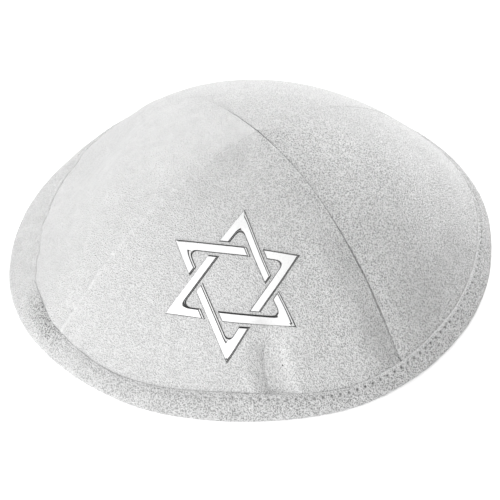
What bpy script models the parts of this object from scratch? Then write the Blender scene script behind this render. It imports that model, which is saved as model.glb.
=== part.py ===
# A four-panel suede skullcap at rest on its rim: four sewn gores, a folded rim binding, and a raised
# interlaced star.
# Metres, +Z up, floor at z = 0. The front panel, which carries the star, faces -Y.
# Azimuths are degrees round +Z, from the front (-Y) towards +X. A share is 0 at the apex and 1 at the
# panels' lower edge.
import math

import bmesh
import bpy
from mathutils import Matrix, Vector

MM = 0.001

# The cap's form, to the outer face of the panels.
RIM_RADIUS = 84.0 * MM
CAP_HEIGHT = 53.5 * MM
APEX_LEAN = 1.4 * MM          # the apex stands this far towards +X
APEX_PITCH = 0.05             # straight share of the fall, a faint peak; the rest is a power curve
FALL_POWER = 2.35
SEAM_RIDGE = 0.24             # how far the level sections turn from round to square at the apex
RIDGE_FADE = 2.0              # power by which that ridge fades out towards the rim

# Cloth.
PANEL_WALL = 1.2 * MM
BINDING_WALL = 1.0 * MM
SEAM_GAP = 0.3 * MM
LAYER_GAP = 0.3 * MM

# Rim binding.
BINDING_WIDTH = 6.8 * MM      # outer leg
BINDING_INSIDE = 7.0 * MM     # inner leg
FOOT_WIDTH = 1.1 * MM         # narrowest flat under the fold, where the cap rests

# Soft unevenness round the rim, read every 30 degrees: its reach as a share of the rim radius, and the
# outer leg's width as a share of the binding width.
RIM_SECTIONS = [
    {"azimuth": 0.0, "reach": 0.991, "width": 1.13},
    {"azimuth": 30.0, "reach": 0.982, "width": 0.80},
    {"azimuth": 60.0, "reach": 0.974, "width": 1.01},
    {"azimuth": 90.0, "reach": 0.988, "width": 1.09},
    {"azimuth": 120.0, "reach": 1.017, "width": 0.90},
    {"azimuth": 150.0, "reach": 1.002, "width": 1.00},
    {"azimuth": 180.0, "reach": 1.000, "width": 1.00},
    {"azimuth": 210.0, "reach": 1.000, "width": 1.00},
    {"azimuth": 240.0, "reach": 0.965, "width": 0.72},
    {"azimuth": 270.0, "reach": 0.990, "width": 1.38},
    {"azimuth": 300.0, "reach": 1.032, "width": 1.45},
    {"azimuth": 330.0, "reach": 1.011, "width": 0.90},
]

# The rim splays out on the left, where the cap has slumped.
SPLAY_AZIMUTHS = {"starts": -128.0, "full_from": -108.0, "full_to": -78.0, "ends": -50.0}
SPLAY_SLOPE = 29.0            # degrees, of the splayed stretch next to the rim
SPLAY_SHARES = (0.56, 0.90)   # the splay blends in between these

# Soft dents, pushed straight in towards the axis. Lengths are shares of the rim radius.
DENTS = [
    {"azimuth": 11.25, "half_width": 8.0, "share": 0.85, "half_length": 0.15, "depth": 0.020},
    {"azimuth": 7.0, "half_width": 30.0, "share": 1.00, "half_length": 0.30, "depth": 0.016},
]

# Star emblem on the front panel.
STAR_RADIUS = 24.4 * MM       # centre to point
STAR_TURN = -1.9              # degrees it is turned from upright, anticlockwise as it is read
STAR_BAR = 3.0 * MM
STAR_CROSSING_GAP = 0.9 * MM  # between a bar and the one that seems to pass under it
STAR_THICKNESS = 0.6 * MM
STAR_CENTRE_X = 0.2 * MM      # where it sits on the front panel, in plan
STAR_CENTRE_Y = -52.8 * MM
STAR_POINTS = 6

# Mesh fineness.
PANEL_COUNT = 4
COLUMNS_PER_PANEL = 16
PANEL_ROWS = 18
ROW_CROWDING = 1.3            # rows stand closer together towards the rim
LEG_ROWS = 3
OUTER_FOLD_ROWS = 4
INNER_FOLD_ROWS = 2
SHORT_ARM_STEPS = 4
LONG_ARM_STEPS = 8

PANEL_NAMES = ("front_panel", "right_panel", "back_panel", "left_panel")
SEAM_SPACING = 360.0 / PANEL_COUNT
COLUMNS = PANEL_COUNT * COLUMNS_PER_PANEL

# The fold is half round about the middle of the panel's edge, which stands highest where the rim splays.
FOLD_RADIUS = PANEL_WALL / 2 + LAYER_GAP + BINDING_WALL
EDGE_HEIGHT = BINDING_WALL + 0.5 * LAYER_GAP + PANEL_WALL * math.cos(math.radians(SPLAY_SLOPE))

# Working steps.
DIFF_STEP = 1e-4              # for slopes, in shares and radians
WALK_STEP = 0.005             # for lengths along the cloth, in shares
SEARCH_ROUNDS = 12
MERGE_DISTANCE = 1e-6


def lump(distance, half_width):
    """1 at the middle, falling in a cosine wave to 0 at half_width."""
    if abs(distance) >= half_width:
        return 0.0
    return 0.5 + 0.5 * math.cos(math.pi * distance / half_width)


def smooth(value):
    value = min(1.0, max(0.0, value))
    return value * value * (3 - 2 * value)


def turn_between(azimuth, other):
    """Signed difference of two azimuths, from -180 to 180."""
    return (azimuth - other + 180.0) % 360.0 - 180.0


def rim_value(azimuth, column):
    """A column of the rim's table at any azimuth, along a smooth curve through its evenly spaced rows."""
    count = len(RIM_SECTIONS)
    place = (azimuth % 360.0) * count / 360.0
    row = int(place)
    t = place - row
    before, start, end, after = (RIM_SECTIONS[(row + i) % count][column] for i in (-1, 0, 1, 2))
    bend = 2 * before - 5 * start + 4 * end - after
    twist = 3 * (start - end) + after - before
    return start + 0.5 * t * (end - before + t * (bend + t * twist))


def splay(azimuth):
    """0 where the rim stands as the dome does, 1 where it is fully splayed."""
    at = SPLAY_AZIMUTHS
    past_start = turn_between(azimuth, at["starts"]) / (at["full_from"] - at["starts"])
    before_end = turn_between(at["ends"], azimuth) / (at["ends"] - at["full_to"])
    return smooth(past_start) * smooth(before_end)


def level_radius(azimuth, share):
    """Plan radius of the panels' outer face: the rim's outline, but four-cornered near the apex."""
    from_panel_middle = (azimuth + SEAM_SPACING / 2) % SEAM_SPACING - SEAM_SPACING / 2
    half = math.radians(SEAM_SPACING / 2)
    square = math.cos(half) / math.cos(math.radians(from_panel_middle))
    ridge = SEAM_RIDGE * (1 - share**RIDGE_FADE)
    radius = share * RIM_RADIUS * rim_value(azimuth, "reach") * (1 - ridge + ridge * square)
    for dent in DENTS:
        across = lump(turn_between(azimuth, dent["azimuth"]), dent["half_width"])
        radius -= dent["depth"] * RIM_RADIUS * across * lump(share - dent["share"], dent["half_length"])
    return radius


def level_height(azimuth, share):
    """Height of the panels' outer face: a soft dome, splayed out next to the rim on the left."""
    fall = APEX_PITCH * share + (1 - APEX_PITCH) * share**FALL_POWER
    dome = EDGE_HEIGHT + (CAP_HEIGHT - EDGE_HEIGHT) * (1 - fall)
    splayed = EDGE_HEIGHT + (1 - share) * RIM_RADIUS * math.tan(math.radians(SPLAY_SLOPE))
    first, last = SPLAY_SHARES
    return dome + (splayed - dome) * splay(azimuth) * smooth((share - first) / (last - first))


def cap_point(azimuth, share):
    """A point of the panels' outer face."""
    angle = math.radians(azimuth)
    radius = level_radius(azimuth, share)
    height = level_height(azimuth, share)
    lean = APEX_LEAN * (height - EDGE_HEIGHT) / (CAP_HEIGHT - EDGE_HEIGHT)
    return Vector((radius * math.sin(angle) + lean, -radius * math.cos(angle), height))


def cap_normal(azimuth, share):
    """The outward normal there, from differences; on a seam it is the mean of the two sides."""
    low = max(share - DIFF_STEP, DIFF_STEP)
    along = cap_point(azimuth, low) - cap_point(azimuth, low + DIFF_STEP)
    turn = math.degrees(DIFF_STEP)
    round_rim = cap_point(azimuth + turn, share) - cap_point(azimuth - turn, share)
    return round_rim.cross(along).normalized()


def share_above_edge(azimuth, distance):
    """The share that lies this far up the panel from its lower edge, measured along the cloth."""
    share, gone = 1.0, 0.0
    before = cap_point(azimuth, share)
    while gone < distance:
        after = cap_point(azimuth, share - WALK_STEP)
        length = (after - before).length
        if gone + length >= distance:
            return share - WALK_STEP * (distance - gone) / length
        share, gone, before = share - WALK_STEP, gone + length, after
    return share


def binding_section(azimuth):
    """The binding's outer skin at one azimuth, from the inner leg's free edge to the outer leg's."""
    normal_out = cap_normal(azimuth, 1.0)
    centre = cap_point(azimuth, 1.0) - normal_out * PANEL_WALL / 2
    level = Vector((normal_out.x, normal_out.y, 0)).normalized()
    lift_outside = LAYER_GAP + BINDING_WALL
    lift_inside = -(PANEL_WALL + lift_outside)

    def leg(distance, lift):
        share = share_above_edge(azimuth, distance)
        return cap_point(azimuth, share) + cap_normal(azimuth, share) * lift

    def fold(angle):
        point = centre + (level * math.cos(angle) + Vector((0, 0, math.sin(angle)))) * FOLD_RADIUS
        point.z = max(point.z, 0.0)
        return point

    foot = level * FOOT_WIDTH / 2
    foot_centre = Vector((centre.x, centre.y, 0))
    foot_turn = math.asin(FOOT_WIDTH / 2 / FOLD_RADIUS)
    outer_end = math.asin(normal_out.z)
    inner_end = outer_end - math.pi
    outer_turn = outer_end - (foot_turn - math.pi / 2)
    inner_turn = -math.pi / 2 - foot_turn - inner_end

    points = [leg(BINDING_INSIDE * (1 - i / LEG_ROWS), lift_inside) for i in range(LEG_ROWS)]
    points += [fold(inner_end + inner_turn * i / INNER_FOLD_ROWS) for i in range(INNER_FOLD_ROWS)]
    points += [foot_centre - foot, foot_centre + foot]
    outer_steps = [i / OUTER_FOLD_ROWS for i in range(1, OUTER_FOLD_ROWS + 1)]
    points += [fold(outer_end - outer_turn * (1 - step)) for step in outer_steps]
    width = BINDING_WIDTH * rim_value(azimuth, "width")
    points += [leg(width * i / LEG_ROWS, lift_outside) for i in range(1, LEG_ROWS + 1)]
    return points


def cap_share_at(x, y):
    """(azimuth, share) of the outer face's point that lies at x, y in plan."""
    share = 0.5
    for _ in range(SEARCH_ROUNDS):
        height = level_height(0.0, share)
        lean = APEX_LEAN * (height - EDGE_HEIGHT) / (CAP_HEIGHT - EDGE_HEIGHT)
        azimuth = math.degrees(math.atan2(x - lean, -y))
        share *= math.hypot(x - lean, y) / level_radius(azimuth, share)
    return azimuth, share


def star_on_cap(across, up, frame):
    """A point of the star's flat drawing, carried straight back onto the panel and lifted clear of it."""
    point = frame["centre"] + frame["across"] * across + frame["up"] * up
    for _ in range(SEARCH_ROUNDS):
        azimuth, share = cap_share_at(point.x, point.y)
        point -= frame["normal"] * (point - cap_point(azimuth, share)).dot(frame["normal"])
    return point + cap_normal(azimuth, share) * LAYER_GAP


def star_frame():
    """The plane of the star's drawing, touching the panel at the star's centre."""
    azimuth, share = cap_share_at(STAR_CENTRE_X, STAR_CENTRE_Y)
    normal = cap_normal(azimuth, share)
    across = Vector((0, 0, 1)).cross(normal).normalized()
    return {
        "centre": cap_point(azimuth, share),
        "normal": normal,
        "across": across,
        "up": normal.cross(across),
    }


def line_crossing(first, second):
    """Where two lines meet, each given as (direction of its normal in degrees, distance from the centre)."""
    a1, d1 = math.radians(first[0]), first[1]
    a2, d2 = math.radians(second[0]), second[1]
    det = math.sin(a2 - a1)
    across = (d1 * math.sin(a2) - d2 * math.sin(a1)) / det
    up = (d2 * math.cos(a1) - d1 * math.cos(a2)) / det
    return Vector((across, up))


def star_point_edges(turn):
    """Inner and outer edge of one star point's bent bar, each as short arm's end, corner and long arm's end.
    The short arm stops outside the bar that crosses it. The long arm passes over one bar and stops inside
    the next."""
    outer = STAR_RADIUS / 2
    inner = outer - STAR_BAR
    short_end = (turn, outer + STAR_CROSSING_GAP)
    long_end = (turn - 120.0, inner - STAR_CROSSING_GAP)
    edges = []
    for distance in (inner, outer):
        short_line = (turn + 60.0, distance)
        long_line = (turn - 60.0, distance)
        corner = line_crossing(short_line, long_line)
        edges.append([line_crossing(short_end, short_line), corner, line_crossing(long_line, long_end)])
    return edges


def make_collection(name):
    collection = bpy.data.collections.new(name)
    bpy.context.scene.collection.children.link(collection)
    return collection


def make_material(name, colour, roughness, metallic=0.0):
    material = bpy.data.materials.new(name)
    material.use_nodes = True
    shader = material.node_tree.nodes["Principled BSDF"]
    shader.inputs["Base Color"].default_value = (*colour, 1.0)
    shader.inputs["Roughness"].default_value = roughness
    shader.inputs["Metallic"].default_value = metallic
    return material


def surface_mesh(name, columns, rows, place):
    """A grid of columns by rows, its vertices put where place(column, row) says, meeting edges joined."""
    bm = bmesh.new()
    bmesh.ops.create_grid(bm, x_segments=columns, y_segments=rows, size=1.0)
    for vert in bm.verts:
        column = round((vert.co.x + 1) / 2 * columns)
        row = round((vert.co.y + 1) / 2 * rows)
        vert.co = place(column, row)
    bmesh.ops.remove_doubles(bm, verts=bm.verts, dist=MERGE_DISTANCE)
    mesh = bpy.data.meshes.new(name)
    bm.to_mesh(mesh)
    bm.free()
    mesh.shade_smooth()
    return mesh


def add_object(name, mesh, collection, material):
    obj = bpy.data.objects.new(name, mesh)
    collection.objects.link(obj)
    if not mesh.materials:
        mesh.materials.append(material)
    return obj


def thicken(obj, thickness, offset):
    wall = obj.modifiers.new("wall", "SOLIDIFY")
    wall.thickness = thickness
    wall.offset = offset
    wall.use_even_offset = True


def column_azimuth(column):
    """Azimuth of a grid column. Column 0 is the seam before the front panel, so seams fall on columns."""
    return -SEAM_SPACING / 2 + 360.0 * (column % COLUMNS) / COLUMNS


def make_cap_mesh():
    """The outer face of all four panels as one open dome, from the lower edge up to the apex."""

    def place(column, row):
        return cap_point(column_azimuth(column), 1.0 - (row / PANEL_ROWS) ** ROW_CROWDING)

    return surface_mesh("cap_outer_face", COLUMNS, PANEL_ROWS, place)


def make_wedge(index, cutters):
    """The quarter of space that holds one panel, half a seam gap off both seam planes, leaning as they do."""
    size = 2 * (RIM_RADIUS + CAP_HEIGHT)
    bm = bmesh.new()
    bmesh.ops.create_cube(bm, size=size)
    corner = Matrix.Translation((size / 2 + SEAM_GAP / 2, -size / 2 - SEAM_GAP / 2, 0))
    turned = Matrix.Rotation(math.radians(index * SEAM_SPACING - SEAM_SPACING / 2), 4, "Z")
    lean = Matrix.Identity(4)
    lean[0][2] = APEX_LEAN / (CAP_HEIGHT - EDGE_HEIGHT)
    at_edge_height = Matrix.Translation((0, 0, EDGE_HEIGHT))
    bmesh.ops.transform(bm, matrix=at_edge_height @ lean @ turned @ corner, verts=bm.verts)
    mesh = bpy.data.meshes.new(PANEL_NAMES[index] + "_wedge")
    bm.to_mesh(mesh)
    bm.free()
    wedge = bpy.data.objects.new(mesh.name, mesh)
    cutters.objects.link(wedge)
    wedge.hide_render = True
    wedge.display_type = "WIRE"
    return wedge


def make_panels(cap, cutters, suede):
    """Each panel is the whole cap's wall, cut down to its own quarter."""
    cap_mesh = make_cap_mesh()
    for index, name in enumerate(PANEL_NAMES):
        panel = add_object(name, cap_mesh, cap, suede)
        thicken(panel, PANEL_WALL, -1.0)
        cut = panel.modifiers.new("own_quarter", "BOOLEAN")
        cut.operation = "INTERSECT"
        cut.solver = "EXACT"
        cut.object = make_wedge(index, cutters)


def make_binding(cap, suede):
    sections = [binding_section(column_azimuth(column)) for column in range(COLUMNS)]
    mesh = surface_mesh(
        "rim_binding", COLUMNS, len(sections[0]) - 1, lambda column, row: sections[column % COLUMNS][row]
    )
    binding = add_object("rim_binding", mesh, cap, suede)
    thicken(binding, BINDING_WALL, -1.0)


def make_star(cap, silver):
    frame = star_frame()
    steps = SHORT_ARM_STEPS + LONG_ARM_STEPS
    for index in range(STAR_POINTS):
        edges = star_point_edges(90.0 + STAR_TURN - index * 360.0 / STAR_POINTS)

        def place(column, row, edges=edges):
            short_end, corner, long_end = edges[row]
            if column <= SHORT_ARM_STEPS:
                flat = short_end.lerp(corner, column / SHORT_ARM_STEPS)
            else:
                flat = corner.lerp(long_end, (column - SHORT_ARM_STEPS) / LONG_ARM_STEPS)
            return star_on_cap(flat.x, flat.y, frame)

        name = f"star_point_{index + 1}"
        point = add_object(name, surface_mesh(name, steps, 1, place), cap, silver)
        thicken(point, STAR_THICKNESS, 1.0)


def main():
    for obj in list(bpy.data.objects):
        bpy.data.objects.remove(obj)
    cap = make_collection("skullcap")
    cutters = make_collection("cutters")
    make_panels(cap, cutters, make_material("suede", (0.78, 0.78, 0.78), 0.95))
    make_binding(cap, make_material("binding_suede", (0.74, 0.74, 0.74), 0.97))
    make_star(cap, make_material("silver_foil", (0.95, 0.95, 0.95), 0.2, 1.0))


main()
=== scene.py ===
import math

import bmesh
import bpy
import numpy as np
from mathutils import Matrix, Vector


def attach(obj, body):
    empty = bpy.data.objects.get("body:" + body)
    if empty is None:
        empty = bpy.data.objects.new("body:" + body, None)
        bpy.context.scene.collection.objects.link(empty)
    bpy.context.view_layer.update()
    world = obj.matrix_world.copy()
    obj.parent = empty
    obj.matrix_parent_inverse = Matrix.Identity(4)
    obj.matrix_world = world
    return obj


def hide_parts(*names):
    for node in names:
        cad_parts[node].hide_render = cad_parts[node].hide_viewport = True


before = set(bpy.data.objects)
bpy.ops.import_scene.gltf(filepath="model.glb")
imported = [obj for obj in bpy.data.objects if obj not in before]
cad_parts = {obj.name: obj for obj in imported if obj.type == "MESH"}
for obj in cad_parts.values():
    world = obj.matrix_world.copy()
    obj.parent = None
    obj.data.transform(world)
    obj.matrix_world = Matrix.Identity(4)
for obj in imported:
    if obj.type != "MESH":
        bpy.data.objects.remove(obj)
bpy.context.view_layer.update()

# A four-panel suede skullcap at rest on its rim. Metres, +Z up, the star's panel faces -Y. Azimuths are degrees round
# +Z from the front (-Y) towards +X. A share is 0 at the apex and 1 at the panels' lower edge.

mm = 0.001
meetingDistance = 0.01 * mm  # points closer than this become one

cap = {
    "rimRadius": 84.0 * mm,
    "height": 53.5 * mm,
    "lean": 1.4 * mm,  # the apex stands this far towards +X
    "pitch": 0.05,  # straight share of the fall from apex to rim
    "fallPower": 2.35,
    "ridge": 0.24,  # how square the level sections are near the apex
    "ridgeFade": 2.0,
    "panelWall": 1.2 * mm,
    "bindingWall": 1.0 * mm,
    "layerGap": 0.3 * mm,
    # reach of the rim and width of its binding, read every 30 degrees from the front
    "reach": [0.989, 0.981, 0.973, 0.984, 1.017, 1.002, 1.000, 1.000, 0.965, 0.990, 1.032, 1.011],
    "width": [1.13, 0.80, 1.01, 1.09, 0.90, 1.00, 1.00, 1.00, 0.72, 1.38, 1.45, 0.90],
    # where the rim splays out on the left
    "splayAzimuths": [-128.0, -108.0, -78.0, -50.0],
    "splaySlope": 29.0,
    "splayShares": [0.56, 0.90],
}
cap["edgeHeight"] = (
    cap["bindingWall"] + 0.5 * cap["layerGap"] + cap["panelWall"] * math.cos(math.radians(cap["splaySlope"]))
)

dents = [
    {"azimuth": 11.25, "halfWidth": 8.0, "share": 0.85, "halfLength": 0.15, "depth": 0.020},
    {"azimuth": 7.0, "halfWidth": 30.0, "share": 1.00, "halfLength": 0.30, "depth": 0.016},
]


# A smooth curve through evenly spaced rows that close on themselves, read at any azimuth.
def alongRim(rows, azimuth):
    rows = np.asarray(rows)
    place = (azimuth % 360.0) * len(rows) / 360.0
    row = np.floor(place).astype(int)
    t = place - row
    before, start, end, after = (rows[(row + i) % len(rows)] for i in (-1, 0, 1, 2))
    bend = 2 * before - 5 * start + 4 * end - after
    twist = 3 * (start - end) + after - before
    return start + 0.5 * t * (end - before + t * (bend + t * twist))


# 1 in the middle, falling in a cosine wave to 0 at the half width.
def lump(distance, halfWidth):
    return np.where(np.abs(distance) < halfWidth, 0.5 + 0.5 * np.cos(np.pi * distance / halfWidth), 0.0)


# 0 up to 0, 1 from 1 on, and an S-shaped curve in between.
def smooth(value):
    value = np.clip(value, 0.0, 1.0)
    return value * value * (3 - 2 * value)


# A bell curve: 1 in the middle, and about a third at the given width.
def bell(distance, width):
    return np.exp(-((distance / width) ** 2))


# How far an edge has turned down at a distance in from it: a quarter circle of the given radius.
def roundedOff(distance, radius):
    inside = np.clip(1 - distance / radius, 0.0, 1.0)
    return radius * (1 - np.sqrt(np.maximum(1 - inside * inside, 0.0)))


# Degrees from the other azimuth to this one, from -180 to 180.
def turnBetween(azimuth, other):
    return (azimuth - other + 180.0) % 360.0 - 180.0


# 0 to 1 over a stretch of the rim: it rises between the first two azimuths and falls between the last two.
def stretchOf(azimuths, azimuth):
    starts, fullFrom, fullTo, ends = azimuths
    first = smooth(turnBetween(azimuth, starts) / (fullFrom - starts))
    return first * smooth(turnBetween(ends, azimuth) / (ends - fullTo))


# Plan radius of the panels' outer face: the rim's outline, made four-cornered towards the apex, less the dents.
def levelRadius(azimuth, share):
    fromMiddle = np.radians((azimuth + 45.0) % 90.0 - 45.0)
    square = math.cos(math.radians(45.0)) / np.cos(fromMiddle)
    ridge = cap["ridge"] * (1 - share ** cap["ridgeFade"])
    radius = share * cap["rimRadius"] * alongRim(cap["reach"], azimuth) * (1 - ridge + ridge * square)
    for dent in dents:
        across = lump(turnBetween(azimuth, dent["azimuth"]), dent["halfWidth"])
        down = lump(share - dent["share"], dent["halfLength"])
        radius = radius - dent["depth"] * cap["rimRadius"] * across * down
    return radius


# Height of the outer face: a power curve from the apex, laid over to a shallow slope where the rim splays.
def levelHeight(azimuth, share):
    fall = cap["pitch"] * share + (1 - cap["pitch"]) * share ** cap["fallPower"]
    dome = cap["edgeHeight"] + (cap["height"] - cap["edgeHeight"]) * (1 - fall)
    splayed = cap["edgeHeight"] + (1 - share) * cap["rimRadius"] * math.tan(math.radians(cap["splaySlope"]))
    first, last = cap["splayShares"]
    splay = stretchOf(cap["splayAzimuths"], azimuth) * smooth((share - first) / (last - first))
    return dome + (splayed - dome) * splay


# How far a level stands over towards +X: in step with its height.
def leanAt(height):
    return cap["lean"] * (height - cap["edgeHeight"]) / (cap["height"] - cap["edgeHeight"])


# Points of the outer face, as arrays: radius and azimuth give x and y, and each level leans over with its height.
def capSurface(azimuth, share):
    angle = np.radians(azimuth)
    radius = levelRadius(azimuth, share)
    height = levelHeight(azimuth, share)
    return np.stack([radius * np.sin(angle) + leanAt(height), -radius * np.cos(angle), height], -1)


# The same directions at length 1.
def unit(vectors):
    return vectors / np.maximum(np.linalg.norm(vectors, axis=-1, keepdims=True), 1e-12)


# Outward normals of the outer face, from small differences along its two parameters.
def capNormal(azimuth, share):
    step = 1e-4
    low = np.maximum(share - step, step)
    along = capSurface(azimuth, low) - capSurface(azimuth, low + step)
    turn = math.degrees(step)
    offApex = np.maximum(share, step)
    around = capSurface(azimuth + turn, offApex) - capSurface(azimuth - turn, offApex)
    return unit(np.cross(around, along))


# The share that lies a given distance up the cloth from the lower edge, by correcting the chord four times.
def shareAbove(azimuth, distance):
    share = 1 - distance / cap["rimRadius"]
    edge = capSurface(azimuth, np.ones_like(share))
    for _ in range(4):
        chord = np.linalg.norm(edge - capSurface(azimuth, share), axis=-1)
        share = 1 - (1 - share) * distance / np.maximum(chord, 1e-9)
    return share


# Gentle unevenness from -1 to 1: a few sine waves of one length laid in seeded directions.
def waves(u, v, length, seed, count=7):
    chance = np.random.default_rng(seed)
    direction = chance.uniform(0, 2 * np.pi, count)
    phase = chance.uniform(0, 2 * np.pi, count)
    stretch = chance.uniform(0.7, 1.4, count) * 2 * np.pi / length
    across = [u * np.cos(angle) + v * np.sin(angle) for angle in direction]
    return sum(np.sin(stretch[i] * across[i] + phase[i]) for i in range(count)) / math.sqrt(2 * count)


# A number from -1 to 1 for each corner of a lattice: its three whole numbers, mixed by large odd factors.
def cornerValue(corner, seed):
    mixed = corner[..., 0] * 73856093 ^ corner[..., 1] * 19349663 ^ corner[..., 2] * 83492791
    mixed = ((mixed + seed * 7919) * 1103515245 + 12345) & 0x7FFFFFFF
    mixed = ((mixed >> 7) * 22695477 + 1) & 0x7FFFFFFF
    return (mixed >> 9) / float(1 << 22) * 2 - 1


# Soft random hills from -1 to 1, about as wide as size: the values of the eight corners round a point, blended.
def hills(points, size, seed):
    place = points / size + 1000.0
    corner = np.floor(place).astype(np.int64)
    t = smooth(place - corner)
    total = np.zeros(points.shape[:-1])
    for step in np.ndindex(2, 2, 2):
        total += cornerValue(corner + np.array(step), seed) * np.prod(np.abs(1 - np.array(step) - t), axis=-1)
    return total


# The four-sided faces of a grid of points, by index. A closed one is joined from its last row or column to its first.
def gridFaces(rows, columns, closeRows=False, closeColumns=False):
    index = np.arange(rows * columns).reshape(rows, columns)
    if closeRows:
        index = np.vstack([index, index[:1]])
    if closeColumns:
        index = np.hstack([index, index[:, :1]])
    return np.stack([index[:-1, :-1], index[:-1, 1:], index[1:, 1:], index[1:, :-1]], -1).reshape(-1, 4)


# Points and faces become a piece that rides on the cap: meeting points are merged, and faces are turned outwards. Marks
# are numbers for each point, which the finishes read by name.
def makePiece(name, points, faces, materials, faceMaterial=None, marks=None):
    mesh = bpy.data.meshes.new(name)
    mesh.from_pydata(points.reshape(-1, 3).tolist(), [], faces.tolist())
    if faceMaterial is not None:
        mesh.polygons.foreach_set("material_index", np.asarray(faceMaterial, dtype=np.int32))
    for mark, values in (marks or {}).items():
        attribute = mesh.attributes.new(mark, "FLOAT", "POINT")
        attribute.data.foreach_set("value", np.asarray(values, dtype=np.float32).ravel())
    bm = bmesh.new()
    bm.from_mesh(mesh)
    bmesh.ops.remove_doubles(bm, verts=bm.verts, dist=meetingDistance)
    bmesh.ops.recalc_face_normals(bm, faces=bm.faces)
    if bm.calc_volume(signed=True) < 0:
        bmesh.ops.reverse_faces(bm, faces=bm.faces)
    openEdges = sum(1 for edge in bm.edges if len(edge.link_faces) != 2)
    bm.to_mesh(mesh)
    bm.free()
    mesh.shade_smooth()
    for material in materials:
        mesh.materials.append(material)
    piece = bpy.data.objects.new(name, mesh)
    bpy.context.scene.collection.objects.link(piece)
    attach(piece, "root")
    print(name, len(mesh.polygons), "faces,", openEdges, "open edges")
    return piece


# Panels: four gores, sewn as two halves and then to each other, so one seam runs on over the top.

panels = {
    "rows": 190,
    "columns": 200,
    "crowding": 1.2,  # rows stand closer together towards the rim
    "seamSteps": [0.0, 0.06, 0.13, 0.21, 0.31, 0.43, 0.6, 0.85, 1.2, 1.7, 2.3, 3.1, 4.0],
    "allowance": 6.0 * mm,  # seam allowance turned in, on the inside
    "allowanceWall": 0.7 * mm,
    "allowanceStep": 0.5 * mm,
    "innerRoll": 0.6 * mm,  # rounding of the inside beside a seam
    "innerUneven": 0.7,  # the inside's unevenness against the outside's
    "innerNap": 0.7,
    "hem": 3.0 * mm,  # the inside is plain this far up from the lower edge
    "hemFade": 4.0 * mm,
    "apexFade": 4.0 * mm,  # banks fade out this close to the apex
    "under": 1.0 * mm,  # creases and hills have faded out this far under the binding
    "underFade": 3.0 * mm,
    "uneven": [(24.0 * mm, 0.22 * mm), (8.0 * mm, 0.07 * mm), (1.7 * mm, 0.035 * mm)],  # size and height of its hills
    "puckerLength": 3.6 * mm,
    "puckerReach": 1.6 * mm,
    # the painted shade in a seam's line, and the painted highlight on the ridge beside it, in patches along it
    "paintedShadeWidth": 0.20 * mm,
    "paintedHighlightLength": 1.5 * mm,
    "paintedHighlightWidth": 0.32 * mm,
    "paintedHighlightGain": 0.7,  # painted highlight on the ridge beside a seam: how much lighter it is, and how much of its nap is cleared to light it
    "paintedHighlightBare": 1.4,
    # the cloth swells beside the binding's upper edge, unevenly, by these heights every 30 degrees from the front
    "swell": {
        "heights": [0.20, 0.25, 0.34, 0.42, 0.56, 0.50, 0.38, 0.38, 0.40, 0.40, 0.38, 0.27],
        "reach": 3.0 * mm, "change": 0.12 * mm, "size": 3.0 * mm, "fall": 1.2 * mm,
    },
    # how deep the nap stands, every 30 degrees from the front. Its dark specks darken the colour, so besides grain
    # this is painted shade on the right side and painted light on the left, where the nap is shallow.
    "nap": [0.6, 0.85, 1.10, 1.0, 0.7, 0.6, 0.55, 0.4, 0.22, 0.12, 0.22, 0.45],
}

# Each panel's two edges, in the order of azimuth. In mm are the gap, the roll, which turns the cloth down into the
# seam, the bank, which is the rise of the cloth beside it over the reach, and the pucker. Rolls, banks, seam shades and
# ridge highlights are read at even steps from the apex to the rim: a seam's painted shade darkens its crease, and a
# painted highlight lightens the ridge beside it.
frontRightSeam = {
    "azimuth": 45.0, "gap": 0.06, "rolls": [0.30], "pucker": 0.04, "lines": [0.50, 0.48, 0.46, 0.34],
}
backRightSeam = {
    "azimuth": 135.0, "gap": 0.01, "rolls": [0.06, 0.06, 0.24, 0.30], "banks": [0.0], "reach": 3.0,
    "pucker": 0.03, "lines": [0.10, 0.0, 0.28, 0.32], "paintedHighlights": [0.0],
}
backLeftSeam = {
    "azimuth": 225.0, "gap": 0.07, "rolls": [0.50, 0.45, 0.10, 0.10],
    "pucker": 0.04, "lines": [0.60, 0.48, 0.05, 0.05],
}
panelEdges = {
    "front_panel": [
        {
            "azimuth": -45.0, "gap": 0.01, "rolls": [0.06, 0.06, 0.25, 0.30], "banks": [0.0, 0.06, 0.50, 0.60],
            "reach": 1.3, "pucker": 0.20, "lines": [0.2, 0.12, 0.0, 0.0], "paintedHighlights": [0.0, 0.45, 0.65, 0.65],
        },
        {**frontRightSeam, "banks": [0.0, 0.0, -1.35, -1.60], "reach": 5.4, "paintedHighlights": [0.4, 0.4, 0.1, 0.0]},
    ],
    "right_panel": [
        {**frontRightSeam, "banks": [-0.10, -0.42, -0.85, -1.00], "reach": 3.8, "paintedHighlights": [0.0, 0.0, 0.15, 0.15]},
        backRightSeam,
    ],
    "back_panel": [
        backRightSeam,
        {**backLeftSeam, "banks": [-0.30, -0.55, -0.1, 0.0], "reach": 4.0, "paintedHighlights": [0.0]},
    ],
    "left_panel": [
        {**backLeftSeam, "banks": [0.0, 0.20, 0.1, 0.0], "reach": 3.0, "paintedHighlights": [0.2, 0.2, 0.0, 0.0]},
        {
            "azimuth": 315.0, "gap": 0.01, "rolls": [0.06, 0.06, 0.12, 0.12], "banks": [0.0, 0.0, 0.15, 0.2],
            "reach": 1.2, "pucker": 0.10, "lines": [0.0], "paintedHighlights": [0.0, 0.0, 0.35, 0.35],
        },
    ],
}

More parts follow.
